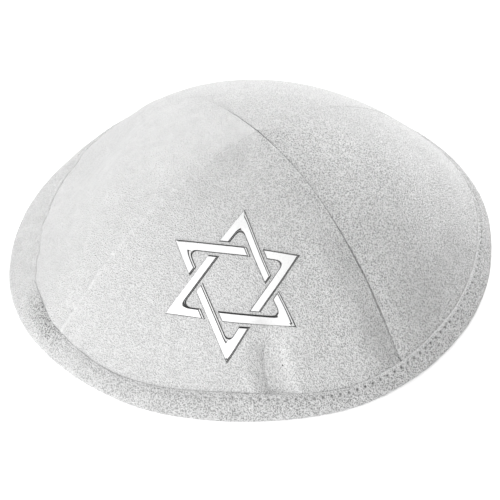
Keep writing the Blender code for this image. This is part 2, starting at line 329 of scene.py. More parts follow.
# Soft creases and hills in the cloth, each along a straight line between two places given as azimuth and share, with
# its width and its height in mm.
folds = [
    ((11.8, 0.86), (13.0, 0.98), 3.4, -2.2),
    ((17.4, 0.86), (17.9, 0.94), 3.2, 0.4),
    ((6.2, 0.91), (6.8, 0.97), 2.2, 0.45),
    ((33.0, 0.56), (36.5, 0.90), 5.0, 0.6),
    ((-25.0, 0.30), (12.0, 0.33), 6.0, -0.4),
    ((88.0, 0.56), (68.0, 0.74), 18.0, 2.0),
    ((-48.3, 0.885), (-48.7, 0.90), 0.5, -0.4),
    ((-45.6, 0.875), (-45.9, 0.885), 0.5, -0.4),
]

# Patches of painted light and painted shade, where the cap's shading is made lighter or darker in its colour: azimuth,
# share, reach in mm, how much lighter or darker it looks, and the panel that it keeps to, if any.
paintedLightPatches = [
    (76.0, 0.46, 15.0, 0.6, None),
    (100.0, 0.28, 12.0, 0.30, None),
    (102.0, 0.68, 14.0, 0.25, None),
    (-32.0, 0.17, 8.0, -0.045, "front_panel"),
    (-40.0, 0.36, 9.0, -0.035, "front_panel"),
    (42.0, 0.62, 8.0, -0.030, "front_panel"),
    (42.0, 0.86, 9.0, -0.035, "front_panel"),
    (-64.0, 0.42, 11.0, 0.25, None),
    (-58.0, 0.10, 5.0, -0.025, None),
    (-33.0, 0.80, 18.0, -0.018, None),
    (38.0, 0.16, 6.0, 0.25, None),
    (61.0, 0.88, 15.0, -0.065, None),
    (83.0, 0.88, 11.0, -0.060, None),
]


# Rise of a crease or hill: a bell curve across it and round its ends.
def foldRise(points):
    total = np.zeros(points.shape[:-1])
    for start, end, width, height in folds:
        start, end = capSurface(*np.array(start)), capSurface(*np.array(end))
        line = end - start
        along = np.clip(((points - start) @ line) / (line @ line), 0.0, 1.0)
        away = np.linalg.norm(points - start - along[..., None] * line, axis=-1)
        total += height * mm * bell(away, width * mm)
    return total


# Painted light and shade from those patches, each a bell curve round its middle.
def paintedLightTone(points, node):
    total = np.zeros(points.shape[:-1])
    for azimuth, share, reach, tone, panel in paintedLightPatches:
        if panel in (None, node):
            away = np.linalg.norm(points - capSurface(np.array(azimuth), np.array(share)), axis=-1)
            total += tone * bell(away, reach * mm)
    return total


# A value read from a row of values at even steps from the apex to the rim.
def downSeam(row, share):
    return np.interp(share, np.linspace(0, 1, len(row)), row) if len(row) > 1 else row[0] + 0 * share


# Uneven height of the cloth itself: broad waves, ripples and the nap's tufts, from three sizes of hills.
def clothUneven(points, seed=1):
    return sum(height * hills(points, size, seed + i) for i, (size, height) in enumerate(panels["uneven"]))


# Rise of the outer face at a distance from a seam, and how far it turns down. A bank falls off as a bell curve, puckers
# as a narrower one along short waves, and the roll is a quarter circle.
def seamRise(edge, distance, share):
    turnedDown = roundedOff(distance, downSeam(edge["rolls"], share) * mm)
    bank = downSeam(edge["banks"], share) * mm * bell(distance, edge["reach"] * mm)
    along = share * cap["rimRadius"]
    pucker = edge["pucker"] * mm * waves(along, 0 * along, panels["puckerLength"], int(edge["azimuth"]) % 360)
    return bank + pucker * bell(distance, panels["puckerReach"]), turnedDown


# Marks of the cloth beside a seam: the painted shade that darkens the seam's line, and the painted highlight on the
# ridge beside it, in patches along it.
def seamMarks(edge, distance, share):
    line = downSeam(edge["lines"], share) * bell(distance, panels["paintedShadeWidth"])
    along = share * cap["rimRadius"]
    patchy = 0.55 + 0.7 * waves(along, 0 * along, panels["paintedHighlightLength"], int(edge["azimuth"]) % 360 + 1)
    ridge = bell(distance - panels["paintedHighlightWidth"], panels["paintedHighlightWidth"])
    return line, downSeam(edge["paintedHighlights"], share) * np.clip(patchy, 0.0, 1.0) * ridge


# Distance of the cloth above the binding's upper edge, by the length of cloth in a share there. It is negative below.
def aboveBinding(azimuth, share):
    edge = shareAbove(azimuth, outerWidth(azimuth))
    step = 0.02
    length = np.linalg.norm(capSurface(azimuth, edge) - capSurface(azimuth, edge - step), axis=-1) / step
    return (edge - share) * length


# The cloth's swell beside the binding: half a bell curve above the edge, ended by a short smooth fall under it.
def swellRise(points, azimuth, above):
    swell = panels["swell"]
    height = alongRim(swell["heights"], azimuth) * mm + swell["change"] * hills(points, swell["size"], 31)
    return height * bell(np.maximum(above, 0.0), swell["reach"]) * smooth((above + swell["fall"]) / swell["fall"])


# Azimuths and shares of a panel's grid, and the distance of each point from the panel's two edges. Columns stand at
# fixed distances beside the seams and evenly between, and are drawn together towards the apex.
def panelGrid(low, high):
    share = (1 - np.linspace(1, 0, panels["rows"] + 1) ** panels["crowding"])[:, None]
    arc = np.maximum(share, 0.004) * cap["rimRadius"] * math.pi / 2  # never quite 0 at the apex
    steps = np.array(panels["seamSteps"]) * mm
    drawn = np.minimum(1.0, arc / (4 * steps[-1]))
    fromLow, fromHigh = (drawn * (steps + edge["gap"] * mm) / arc for edge in (low, high))
    evenly = np.linspace(0, 1, panels["columns"] + 3 - 2 * len(steps))[None, 1:-1]
    between = fromLow[:, -1:] + (1 - fromHigh[:, -1:] - fromLow[:, -1:]) * evenly
    fraction = np.hstack([fromLow, between, 1 - fromHigh[:, ::-1]])
    azimuth = low["azimuth"] + 90.0 * fraction
    share = np.broadcast_to(share, azimuth.shape)
    radius = levelRadius(azimuth, share)
    turns = ((low, fraction), (high, 1 - fraction))
    return azimuth, share, [np.radians(90.0 * turn) * radius - edge["gap"] * mm * drawn for edge, turn in turns]


# A closed shell. The outer face is the cap's surface lifted along its normal by the rises. The inner one lies a wall
# deeper, and deeper still under the seam allowances.
def makePanel(name, node, suede):
    edges = panelEdges[node]
    azimuth, share, fromEdges = panelGrid(*edges)
    points = capSurface(azimuth, share)
    normals = capNormal(azimuth, share)
    (bankLow, turnLow), (bankHigh, turnHigh) = (seamRise(*row, share) for row in zip(edges, fromEdges))
    above = aboveBinding(azimuth, share)
    banks = (bankLow + bankHigh) * smooth(share * cap["rimRadius"] / panels["apexFade"])
    rise = clothUneven(points) + foldRise(points) + banks
    rise = rise * smooth((above + panels["under"]) / panels["underFade"])
    rise = rise + swellRise(points, azimuth, above) - turnLow - turnHigh
    covered = smooth((cap["rimRadius"] * (1 - share) - panels["hem"]) / panels["hemFade"])
    nearest = np.minimum(*fromEdges)
    folded = panels["allowanceWall"] * smooth((panels["allowance"] - nearest) / panels["allowanceStep"])
    loose = folded - roundedOff(nearest, panels["innerRoll"]) - clothUneven(points, 21) * panels["innerUneven"]
    depth = cap["panelWall"] + loose * covered
    outer = points + normals * rise[..., None]
    inner = points - normals * depth[..., None]
    # The tone mark: painted light and shade in patches, painted highlights on the ridges beside the seams, which also
    # clear the nap's dark specks, and painted shade in the seams' lines.
    (paintedShadeLow, paintedHighlightLow), (paintedShadeHigh, paintedHighlightHigh) = (seamMarks(*row, share) for row in zip(edges, fromEdges))
    paintedHighlight = paintedHighlightLow + paintedHighlightHigh
    tone = 0.5 + paintedLightTone(points, node) + paintedHighlight * panels["paintedHighlightGain"] - paintedShadeLow - paintedShadeHigh
    nap = alongRim(panels["nap"], azimuth) * np.clip(1 - panels["paintedHighlightBare"] * paintedHighlight, 0.0, 1.0)
    marks = {"tone": np.hstack([tone, tone * 0 + 0.5]), "nap": np.hstack([nap, nap * 0 + panels["innerNap"]])}
    rows, count = azimuth.shape
    loop = np.concatenate([outer, inner[:, ::-1]], 1)
    faces = gridFaces(rows, 2 * count, closeColumns=True)
    outerEdge = np.arange(count) + (rows - 1) * 2 * count
    innerEdge = (outerEdge + count)[::-1]
    bottom = np.stack([outerEdge[:-1], outerEdge[1:], innerEdge[1:], innerEdge[:-1]], -1)
    piece = makePiece(name, loop, np.vstack([faces, bottom]), [suede], marks=marks)
    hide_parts(node)
    return piece


# Rim binding: one strip of suede folded round the panels' lower edge and sewn through near its upper edge.

binding = {
    "outer": 6.8 * mm,
    "inner": 7.0 * mm,
    "foldSteps": 12,
    # columns of the outer leg, in mm below its upper edge, and shares of what is left down to the fold
    "topSteps": [0.0, 0.08, 0.18, 0.3, 0.45, 0.65, 0.9, 1.12, 1.28, 1.42, 1.55, 1.68, 1.82, 1.98, 2.25, 2.7],
    "lowSteps": [0.16, 0.32, 0.48, 0.64, 0.8],
    # columns of the inner leg, in mm below its upper edge, above its stitching, and above the panels' lower edge
    "innerTopSteps": [0.0, 0.1, 0.3, 0.6],
    "besideStitches": [0.5, 0.25, 0.12, 0.0, -0.12, -0.25, -0.5],
    "innerLowSteps": [3.6, 1.8],
    "rowSteps": [0.0, 0.05, 0.11, 0.22, 0.4, 0.6, 0.78, 0.89, 0.95],  # rows along a stitch, as shares of its pitch
    # the underside of the strip: how far it stands off the panels, and its few columns
    "under": {"wall": 0.1 * mm, "foldSteps": 5, "inner": [6.7 * mm, 3.5 * mm], "outer": [0, 3, -8, -5, -1]},
    "flattened": 0.12 * mm,  # the fold is pressed flat on the floor by this much
    # a leg's pressed upper edge, lip and belly: distance below that edge, width and height, in mm
    "rises": [(0.0, 1.2, -0.62), (1.0, 0.4, 0.10), (4.2, 1.4, 0.15)],
    "edgeRoll": 0.16 * mm,
    "paintedHighlightEdge": {"light": 0.3, "bare": 0.9, "width": 0.5 * mm},  # painted highlight on the upper edge, where the stitching shows, with its nap cleared there to light it
    "nap": {"size": 1.2 * mm, "height": 0.06 * mm},
    "lumps": {"size": 7.0 * mm, "height": 0.12 * mm},
    "floorFade": 1.2 * mm,  # nap and lumps die away this close to the floor
    # every 30 degrees from the front: how deep the nap stands, and how much of the stitching shows through it
    "napDepth": [0.8, 0.9, 1.0, 1.0, 0.8, 0.6, 0.6, 0.5, 0.3, 0.2, 0.3, 0.6],
    "shown": [0.38, 0.75, 0.95, 0.8, 0.35, 0.4, 0.6, 0.4, 0.1, 0.0, 0.0, 0.08],
    "innerShown": 0.6,
    # a rough patch on the left, down to a distance below the upper edge
    "rough": {"azimuth": -51.0, "halfWidth": 12.0, "nap": 0.8, "tone": 0.04, "height": 0.16 * mm,
              "down": 4.5 * mm, "fade": 3.0 * mm, "size": 3.0 * mm},
    # the upper edge wanders, more on the worn left side, in waves given as count, share and start
    "worn": [-150.0, -120.0, -50.0, -32.0],
    "wander": 0.45 * mm,
    "waves": [(19, 0.5, 1.3), (31, 0.3, 0.4), (47, 0.2, 0.0)],
}

stitching = {
    "pitch": 2.9 * mm,
    "below": 1.6 * mm,  # from the outer leg's upper edge
    "inside": 5.4 * mm,  # from the panels' lower edge, on the inner leg
    "channel": 0.12 * mm,
    "channelWidth": 0.5 * mm,
    "hole": 0.9 * mm,  # how deep the thread draws the cloth in at each hole
    "holeSize": 0.38 * mm,
    # painted shade in each stitch hole, as far as the stitching shows
    "paintedHoleShade": 0.5,
    "bare": 0.7,  # how much of the nap is gone round a hole
    "bareSize": 0.8 * mm,
    "sunk": 0.35 * mm,  # deeper where the nap covers it
    "length": 2.1 * mm,
    "width": 0.40 * mm,
    "height": 0.26 * mm,
    "blunt": 0.4,
    "arch": 0.22 * mm,  # a stitch's ends go down into the cloth by this much
    "proud": 0.05 * mm,
    "slant": 0.05,
    "sides": 6,
    "rings": 7,
}


# Width of the outer leg: the rim's own row of widths, wandering a little, more where it is worn.
def outerWidth(azimuth):
    angle = np.radians(azimuth)
    wave = sum(share * np.sin(count * angle + start) for count, share, start in binding["waves"])
    wander = binding["wander"] * (0.25 + stretchOf(binding["worn"], azimuth))
    return binding["outer"] * alongRim(cap["width"], azimuth) + wander * wave


# How much of the outer stitching shows, 0 to 1.
def shownAt(azimuth):
    return np.clip(alongRim(binding["shown"], azimuth), 0.0, 1.0)


# Points a distance up the cloth from the panels' lower edge, lifted along the cap's normal.
def legPoints(azimuth, distance, lift):
    share = shareAbove(azimuth, distance)
    return capSurface(azimuth, share) + capNormal(azimuth, share) * lift[..., None]


# The count of stitches round the rim, and a function that gives the azimuth any number of pitches along them.
def alongStitching():
    azimuth = np.linspace(0, 360, 2881)
    line = legPoints(azimuth, outerWidth(azimuth) - stitching["below"], np.full(azimuth.shape, cap["layerGap"]))
    gone = np.concatenate([[0], np.cumsum(np.linalg.norm(np.diff(line, axis=0), axis=1))])
    count = int(round(gone[-1] / stitching["pitch"]))
    return count, lambda steps: np.interp(steps * gone[-1] / count, gone, azimuth)


# Rise of a leg's skin over its flat wall: three bell curves, a rounded free edge, and a channel and holes along the
# stitching, the holes as far as they show.
def legRise(fromTop, fromHole, below, shown):
    rises = sum(height * mm * bell(fromTop - at * mm, width * mm) for at, width, height in binding["rises"])
    channel = stitching["channel"] * bell(fromTop - below, stitching["channelWidth"])
    hole = stitching["hole"] * shown * bell(np.hypot(fromTop - below, fromHole), stitching["holeSize"])
    return rises - channel - hole - roundedOff(fromTop, binding["edgeRoll"])


# Points of one skin of the binding, azimuth by azimuth: up from the inner leg's free edge, round the fold, up the outer
# leg. The fold is a half circle whose lower part is stretched down to the floor.
def bindingSkin(azimuth, wall, foldSteps, innerDistance, outerFromTop, fromHole):
    azimuth = azimuth[:, None]
    edgeNormal = capNormal(azimuth, np.ones_like(azimuth))
    centre = capSurface(azimuth, np.ones_like(azimuth)) - edgeNormal * cap["panelWall"] / 2
    level = unit(edgeNormal * np.array([1.0, 1.0, 0.0]))
    layer = cap["layerGap"] + wall
    radius = cap["panelWall"] / 2 + layer
    floor = cap["bindingWall"] - wall
    angle = np.arcsin(edgeNormal[..., 2]) - math.pi * (1 - np.linspace(0, 1, foldSteps + 1)[None, :])
    height = centre[..., 2]
    reach = np.where(np.sin(angle) < 0, height + binding["flattened"] - floor, radius)
    fold = centre * np.array([1.0, 1.0, 0.0]) + level * (radius * np.cos(angle))[..., None]
    fold[..., 2] = np.maximum(height + np.sin(angle) * reach, floor)
    raised = wall > 0.5 * cap["bindingWall"]
    innerDistance = innerDistance[None, :] + 0 * azimuth
    innerBelow = binding["inner"] - stitching["inside"]
    innerRise = legRise(binding["inner"] - innerDistance, fromHole, innerBelow, binding["innerShown"]) * raised
    inner = legPoints(azimuth + 0 * innerDistance, innerDistance, -(cap["panelWall"] + layer + innerRise))
    distance = outerWidth(azimuth) - outerFromTop
    outerRise = legRise(outerFromTop, fromHole, stitching["below"], shownAt(azimuth)) * raised
    outer = legPoints(azimuth + 0 * distance, distance, layer + outerRise)
    return np.concatenate([inner, fold, outer], 1)


# A closed ring: its skin, roughened by the nap, and its underside, joined along both free edges.
def makeBinding(name, suede):
    count, azimuthAt = alongStitching()
    shares = np.array(binding["rowSteps"])
    azimuth = azimuthAt((np.arange(count)[:, None] + shares[None, :]).ravel())
    fromHole = np.tile(np.minimum(shares, 1 - shares) * stitching["pitch"], count)[:, None]
    top = np.array(binding["topSteps"])[None, :] * mm
    low = np.array(binding["lowSteps"])[None, ::-1]
    rest = outerWidth(azimuth)[:, None] - top[:, -1:]
    outerFromTop = np.concatenate([top[:, -1:] + rest * low, top[:, ::-1] + 0 * rest], 1)
    innerDistance = np.concatenate([
        binding["inner"] - np.array(binding["innerTopSteps"]) * mm,
        stitching["inside"] + np.array(binding["besideStitches"]) * mm,
        np.array(binding["innerLowSteps"]) * mm,
    ])
    skin = bindingSkin(azimuth, cap["bindingWall"], binding["foldSteps"], innerDistance, outerFromTop, fromHole)
    few = binding["under"]
    fewOuter = outerFromTop[:, few["outer"]]
    under = bindingSkin(azimuth, few["wall"], few["foldSteps"], np.array(few["inner"]), fewOuter, fromHole)
    outward = unit(np.cross(np.gradient(skin, axis=1), np.roll(skin, -1, 0) - np.roll(skin, 1, 0)))
    outside = slice(skin.shape[1] - outerFromTop.shape[1], skin.shape[1])  # columns of the outer leg
    fromTop = np.full(skin.shape[:2], 1.0)
    fromTop[:, outside] = outerFromTop
    patch = binding["rough"]
    rough = lump(turnBetween(azimuth, patch["azimuth"]), patch["halfWidth"])[:, None]
    rough = rough * smooth(1 - (fromTop - patch["down"]) / patch["fade"])
    nap = (binding["nap"]["height"] + patch["height"] * rough) * hills(skin, binding["nap"]["size"], 41)
    lumps = binding["lumps"]["height"] * hills(skin, binding["lumps"]["size"], 42)
    clear = smooth(skin[..., 2] / binding["floorFade"])
    clear[:, [0, -1]] = 0.0
    skin = skin + outward * ((nap + lumps) * clear)[..., None]
    skin[..., 2] = np.maximum(skin[..., 2], 0.0)
    loop = np.concatenate([skin, under[:, ::-1]], 1)
    shown = shownAt(azimuth)[:, None]
    away = np.hypot(outerFromTop - stitching["below"], fromHole)
    # Painted highlight along the outer leg's upper edge, where the stitching shows, which also clears the nap there.
    paintedHighlight = shown * bell(outerFromTop, binding["paintedHighlightEdge"]["width"])
    tone = np.full(loop.shape[:2], 0.5)
    tone[:, outside] += binding["paintedHighlightEdge"]["light"] * paintedHighlight
    # Painted shade in the stitch holes.
    tone[:, outside] -= stitching["paintedHoleShade"] * shown * bell(away, stitching["holeSize"])
    tone[:, : skin.shape[1]] -= patch["tone"] * rough * smooth(1 + hills(skin, patch["size"], 61))
    nap = alongRim(binding["napDepth"], azimuth)[:, None] + 0 * tone
    nap[:, : skin.shape[1]] += patch["nap"] * rough
    bare = binding["paintedHighlightEdge"]["bare"] * paintedHighlight + stitching["bare"] * shown * bell(away, stitching["bareSize"])
    nap[:, outside] *= np.clip(1 - bare, 0.0, 1.0)
    faces = gridFaces(*loop.shape[:2], closeRows=True, closeColumns=True)
    piece = makePiece(name, loop, faces, [suede], marks={"tone": tone, "nap": nap})
    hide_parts("rim_binding")
    return piece


# One row of stitches. Each is a slim spindle that arches out of the cloth, its rings' size following half a sine.
def stitchRow(distanceAt, lift, inside, seed):
    count, azimuthAt = alongStitching()
    azimuth = azimuthAt(np.arange(count) + 0.5)
    ahead = azimuthAt(np.arange(count) + 0.6)
    sunk = stitching["sunk"] * (1 - shownAt(azimuth)) * (inside > 0)
    place = legPoints(azimuth, distanceAt(azimuth), lift - sunk)
    along = unit(legPoints(ahead, distanceAt(ahead), np.full(count, lift)) - place)
    normal = capNormal(azimuth, shareAbove(azimuth, distanceAt(azimuth))) * inside
    slant = np.random.default_rng(seed).normal(0.0, stitching["slant"], count)[:, None]
    along = unit(along + np.cross(normal, along) * slant)
    across = np.cross(normal, along)
    t = np.linspace(0, 1, stitching["rings"])[:, None]
    turn = (np.arange(stitching["sides"]) * 2 * math.pi / stitching["sides"])[None, :]
    size = np.maximum(np.sin(math.pi * t), 0.0) ** stitching["blunt"]
    arch = stitching["arch"] * (np.sin(math.pi * t) ** 0.5 - 1) + stitching["proud"]
    x = (t - 0.5) * stitching["length"] + 0 * turn
    y = stitching["width"] / 2 * size * np.cos(turn)
    z = stitching["height"] / 2 * size * np.sin(turn) + arch
    local = np.stack([x, y, z], -1).reshape(-1, 3)
    points = place[:, None, :] + local @ np.stack([along, across, normal], 1)
    one = gridFaces(stitching["rings"], stitching["sides"], closeColumns=True)
    return points.reshape(-1, 3), (one[None] + (np.arange(count) * len(local))[:, None, None]).reshape(-1, 4)


# Both rows of stitches, outside and inside, as one piece.
def makeStitching(name, thread):
    skin = cap["layerGap"] + cap["bindingWall"] - stitching["channel"]
    outside, faces = stitchRow(lambda azimuth: outerWidth(azimuth) - stitching["below"], skin, 1.0, 7)
    deep = -(cap["panelWall"] + skin)
    inside, innerFaces = stitchRow(lambda azimuth: stitching["inside"] + 0 * azimuth, deep, -1.0, 8)
    points = np.vstack([outside, inside])
    piece = makePiece(name, points, np.vstack([faces, innerFaces + len(outside)]), [thread])
    return piece


# Star: six bent bars of silver foil that seem to pass over and under each other.

star = {
    "radius": 24.4 * mm,
    "turn": -1.9,
    "bar": 3.0 * mm,
    "crossingGap": 0.9 * mm,
    "thickness": 0.6 * mm,
    "sunk": 0.12 * mm,  # the foil's underside lies this deep in the nap
    "centre": (0.2 * mm, -52.8 * mm),
    "points": 6,
    "innerRound": 3.4 * mm,
    "outline": 0.20 * mm,  # width of the slope round each face
    "step": (0.62 * mm, 0.30 * mm),  # the base shows beyond the face by this much, to the right and upwards
    "slope": 0.26 * mm,
    "foot": 0.06 * mm,  # height of the outer edge
    "ledge": 0.32 * mm,  # height of the step, and how much it rises across
    "ledgeRise": 0.02 * mm,
    "shortRows": 16,
    "longRows": 40,
    # each tip as pressed on lies a little off, in mm to the right and upwards, from the top clockwise
    "tipOff": [(0.35, 0.1), (-1.1, -0.45), (0.2, 0.6), (0.4, -1.25), (-0.1, 0.35), (0.05, 0.3)],
    "tipReach": 11.0 * mm,
}


# Unit vector of an angle in degrees, to the right and upwards on the star's drawing.
def heading(degrees):
    return np.array([math.cos(math.radians(degrees)), math.sin(math.radians(degrees))])


# Azimuth and share of the cap's point that lies at x, y in plan, by correcting the share until the radii agree.
def shareAt(x, y):
    share = np.full(np.shape(x), 0.5)
    for _ in range(12):
        lean = leanAt(levelHeight(np.zeros_like(share), share))
        azimuth = np.degrees(np.arctan2(x - lean, -y))
        share = share * np.hypot(x - lean, y) / levelRadius(azimuth, share)
    return azimuth, share


# The flat plane of the star's drawing, which touches the cap at the star's centre.
def starPlane():
    azimuth, share = shareAt(*(np.array(place) for place in star["centre"]))
    normal = capNormal(azimuth, share)
    across = unit(np.cross([0.0, 0.0, 1.0], normal))
    return {"centre": capSurface(azimuth, share), "normal": normal, "across": across, "up": np.cross(normal, across)}


# The drawing as it was pressed on: near each tip it is moved by that tip's own shift, fading in a bell curve.
def pressedOn(flat):
    moved = flat
    for index, shift in enumerate(star["tipOff"]):
        tip = star["radius"] * heading(90.0 + star["turn"] - 60.0 * index)
        near = np.exp(-(((flat - tip) ** 2).sum(-1, keepdims=True) / star["tipReach"] ** 2))
        moved = moved + np.array(shift) * mm * near
    return moved


# The star's flat drawing carried straight back onto the panel, then lifted by height along the cap's normal.
def onCap(flat, height, plane):
    flat = pressedOn(flat)
    point = plane["centre"] + flat[..., :1] * plane["across"] + flat[..., 1:] * plane["up"]
    for _ in range(12):
        azimuth, share = shareAt(point[..., 0], point[..., 1])
        off = ((point - capSurface(azimuth, share)) * plane["normal"]).sum(-1, keepdims=True)
        point = point - plane["normal"] * off
    rise = clothUneven(capSurface(azimuth, share))
    return point + capNormal(azimuth, share) * (rise + height)[..., None]


# Where two lines meet, each given by the direction of its normal in degrees and its distance from the star's centre.
def crossing(first, second):
    a, b = math.radians(first[0]), math.radians(second[0])
    x = first[1] * math.sin(b) - second[1] * math.sin(a)
    y = second[1] * math.cos(a) - first[1] * math.cos(b)
    return np.array([x, y]) / math.sin(b - a)


# Width of the stepped side of a bar's edge that faces outwards in the given direction, in degrees.
def sideWidth(facing):
    right, upwards = heading(facing)
    return star["outline"] + max(0.0, star["step"][0] * right + star["step"][1] * upwards)


# Distances in from an edge at which its profile turns: foot, top of the first slope, foot of the second slope, face.
def profileStops(width):
    slope = min(star["slope"], width / 2)
    return np.array([0.0, slope, width - slope, width])


# Points along one edge of a bar from its start over its corner to its end. The first and last few lie at given offsets,
# the rest evenly. A rounded corner is drawn in over its radius.
def bentEdge(start, corner, end, startStops, endStops, roundness):
    first, second = np.linalg.norm(corner - start), np.linalg.norm(end - corner)
    evenly = np.linspace(0, 1, star["shortRows"] + 1)[1:]
    short = np.concatenate([startStops, startStops[-1] + (first - startStops[-1]) * evenly]) / first
    evenly = np.linspace(0, 1, star["longRows"] + 1)[1:-1]
    long = np.concatenate([(second - endStops[-1]) * evenly, second - endStops[::-1]]) / second
    path = np.vstack([start + (corner - start) * short[:, None], corner + (end - corner) * long[:, None]])
    if roundness:
        middle = unit(unit(start - corner) + unit(end - corner))
        away = np.linalg.norm(path - corner, axis=1, keepdims=True)
        path = path + middle * roundness * 0.5 * np.maximum(1 - away / roundness, 0.0) ** 2
    return path


# Heights at those stops: a slope, a ledge, and a slope up to the face.
def stopHeights(width):
    ledge = star["ledge"] if width > 2.2 * star["slope"] else 0.5 * star["thickness"]
    return np.array([star["foot"], ledge, ledge + star["ledgeRise"], star["thickness"]])


# Height of the bar at a distance in from an edge, straight from stop to stop.
def profileHeight(distance, width):
    return np.interp(distance, profileStops(width), stopHeights(width))


# How far each row of a bar belongs to its long arm, for one of its edges. At an outer corner the wider side runs on to
# the tip, and at an inner corner it dies away before the bend, over a few rows.
def onLongArm(rows, bend, shortWidth, longWidth, few):
    step = (np.arange(rows) - bend)[:, None] / few
    if (longWidth > shortWidth) == (few == 1):
        step = step + 1
    return np.clip(step, 0.0, 1.0)


# One bent bar: a grid from its inner edge to its outer edge, and the same grid as its underside. Its height is the
# least that its four sides' profiles allow. The face is bright foil; the ledges are a duller copy of it, painted shade,
# and the slopes a dark copy, painted shadow.
def makeStarPoint(name, node, index, plane, foils):
    turn = 90.0 + star["turn"] - 60.0 * index
    outer = star["radius"] / 2
    inner = outer - star["bar"]
    shortEnd = (turn, outer + star["crossingGap"])
    longEnd = (turn - 120.0, inner - star["crossingGap"])
    startWidth, endWidth = sideWidth(turn + 180.0), sideWidth(turn - 120.0)
    cut = math.sin(math.radians(60.0))
    startStops, endStops = profileStops(startWidth) / cut, profileStops(endWidth) / cut
    edges = []
    for distance, roundness in ((inner, star["innerRound"]), (outer, 0.0)):
        shortLine, longLine = (turn + 60.0, distance), (turn - 60.0, distance)
        corners = crossing(shortEnd, shortLine), crossing(shortLine, longLine), crossing(longLine, longEnd)
        edges.append(bentEdge(*corners, startStops, endStops, roundness))
    rows = len(edges[0])
    bend = len(startStops) + star["shortRows"]  # the first row past the corner
    stops, heights = [], []
    for shortFacing, longFacing, few in ((240.0, 120.0, 2), (60.0, -60.0, 1)):
        short, long = sideWidth(turn + shortFacing), sideWidth(turn + longFacing)
        onLong = onLongArm(rows, bend, short, long, few)
        stops.append(profileStops(short) * (1 - onLong) + profileStops(long) * onLong)
        heights.append(stopHeights(short) * (1 - onLong) + stopHeights(long) * onLong)
    innerStops, outerStops = stops
    between = star["bar"] - outerStops[:, -1:] - innerStops[:, -1:]
    face = innerStops[:, -1:] + between * np.linspace(0, 1, 6)[None, 1:-1]
    across = (np.hstack([innerStops, face, star["bar"] - outerStops[:, ::-1]]) / star["bar"])[..., None]
    flat = edges[0][:, None] * (1 - across) + edges[1][:, None] * across
    fromStart = flat @ heading(shortEnd[0]) - shortEnd[1]
    fromEnd = longEnd[1] - flat @ heading(longEnd[0])
    onShort = (np.arange(rows) <= bend)[:, None]
    height = np.hstack([heights[0], np.full((rows, face.shape[1]), star["thickness"]), heights[1][:, ::-1]])
    height = np.minimum(height, np.where(onShort, profileHeight(fromStart, startWidth), 1.0))
    height = np.minimum(height, np.where(onShort, 1.0, profileHeight(fromEnd, endWidth)))
    top = onCap(flat, height, plane)
    base = onCap(flat, np.full(height.shape, -star["sunk"]), plane)
    grid = np.arange(height.size).reshape(height.shape)
    rim = np.concatenate([grid[:-1, 0], grid[-1, :-1], grid[:0:-1, -1], grid[0, :0:-1]])
    nextRim = np.roll(rim, -1)
    sides = np.stack([rim, nextRim, nextRim + height.size, rim + height.size], -1)
    topFaces = gridFaces(*height.shape)
    faces = np.vstack([topFaces, topFaces + height.size, sides])
    lowest, highest = height.ravel()[topFaces].min(1), height.ravel()[topFaces].max(1)
    # Each face's foil: 2 on the slopes, painted shadow; 1 on the ledges, painted shade; 0 on the bright face.
    kind = np.where(highest - lowest > 0.05 * mm, 2, np.where(highest < 0.8 * star["thickness"], 1, 0))
    which = np.concatenate([kind, np.full(len(topFaces) + len(sides), 2)])
    piece = makePiece(name, np.vstack([top.reshape(-1, 3), base.reshape(-1, 3)]), faces, foils, which)
    piece.data.shade_flat()
    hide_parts(node)
    return piece


# Finishes. Colours are greys from 0 to 1, a noise's scale is its waves in a metre, and a nap's depth is in metres.

suedeLooks = {
    "panels": {"light": 0.96, "dark": 0.90, "grain": 2300.0, "depth": 0.45 * mm, "speck": 0.46, "middle": 0.84},
    "binding": {"light": 0.94, "dark": 0.856, "grain": 2200.0, "depth": 0.5 * mm, "speck": 0.33, "middle": 0.82},
    "mottle": 260.0,
    "shades": [(0.0, 0.18), (0.5, 0.90), (1.0, 1.0)],  # for the tone mark: painted shade in seams and holes, the cloth, painted highlights on ridges
    "sockets": {"Roughness": 0.95, "Specular IOR Level": 0.08, "Sheen Weight": 0.02, "Sheen Roughness": 0.6},
}
threadLook = {
    "light": 0.8, "dark": 0.6, "strands": 2600.0, "twist": 3200.0, "depth": 0.05 * mm, "sockets": {"Roughness": 0.75},
}
foilLooks = {
    "silver_foil_face": {"light": 1.0, "dark": 0.92, "sockets": {"Roughness": 0.5, "Metallic": 0.6}},
    # The ledge and edge foils are darker copies of the face: painted shade on the ledges, painted shadow on the slopes.
    "silver_foil_ledge_painted_shade": {"light": 0.86, "dark": 0.76, "sockets": {"Roughness": 0.5, "Metallic": 0.6}},
    "silver_foil_edge_painted_shadow": {"light": 0.10, "dark": 0.06, "sockets": {"Roughness": 0.45, "Metallic": 0.9}},
}


# A material whose shader has these fixed values on its own sockets.
def newMaterial(name, sockets):
    material = bpy.data.materials.new(name)
    material.use_nodes = True
    shader = material.node_tree.nodes["Principled BSDF"]
    for socket, value in sockets.items():
        shader.inputs[socket].default_value = value
    return material, material.node_tree, shader


def addNode(tree, kind, **values):
    node = tree.nodes.new(kind)
    for key, value in values.items():
        setattr(node, key, value)
    return node


# Noise on the piece's own Object coordinates.
def addNoise(tree, scale, detail):
    coordinates = addNode(tree, "ShaderNodeTexCoord")
    noise = addNode(tree, "ShaderNodeTexNoise")
    noise.inputs["Scale"].default_value = scale
    noise.inputs["Detail"].default_value = detail
    tree.links.new(coordinates.outputs["Object"], noise.inputs["Vector"])
    return noise.outputs["Fac"]


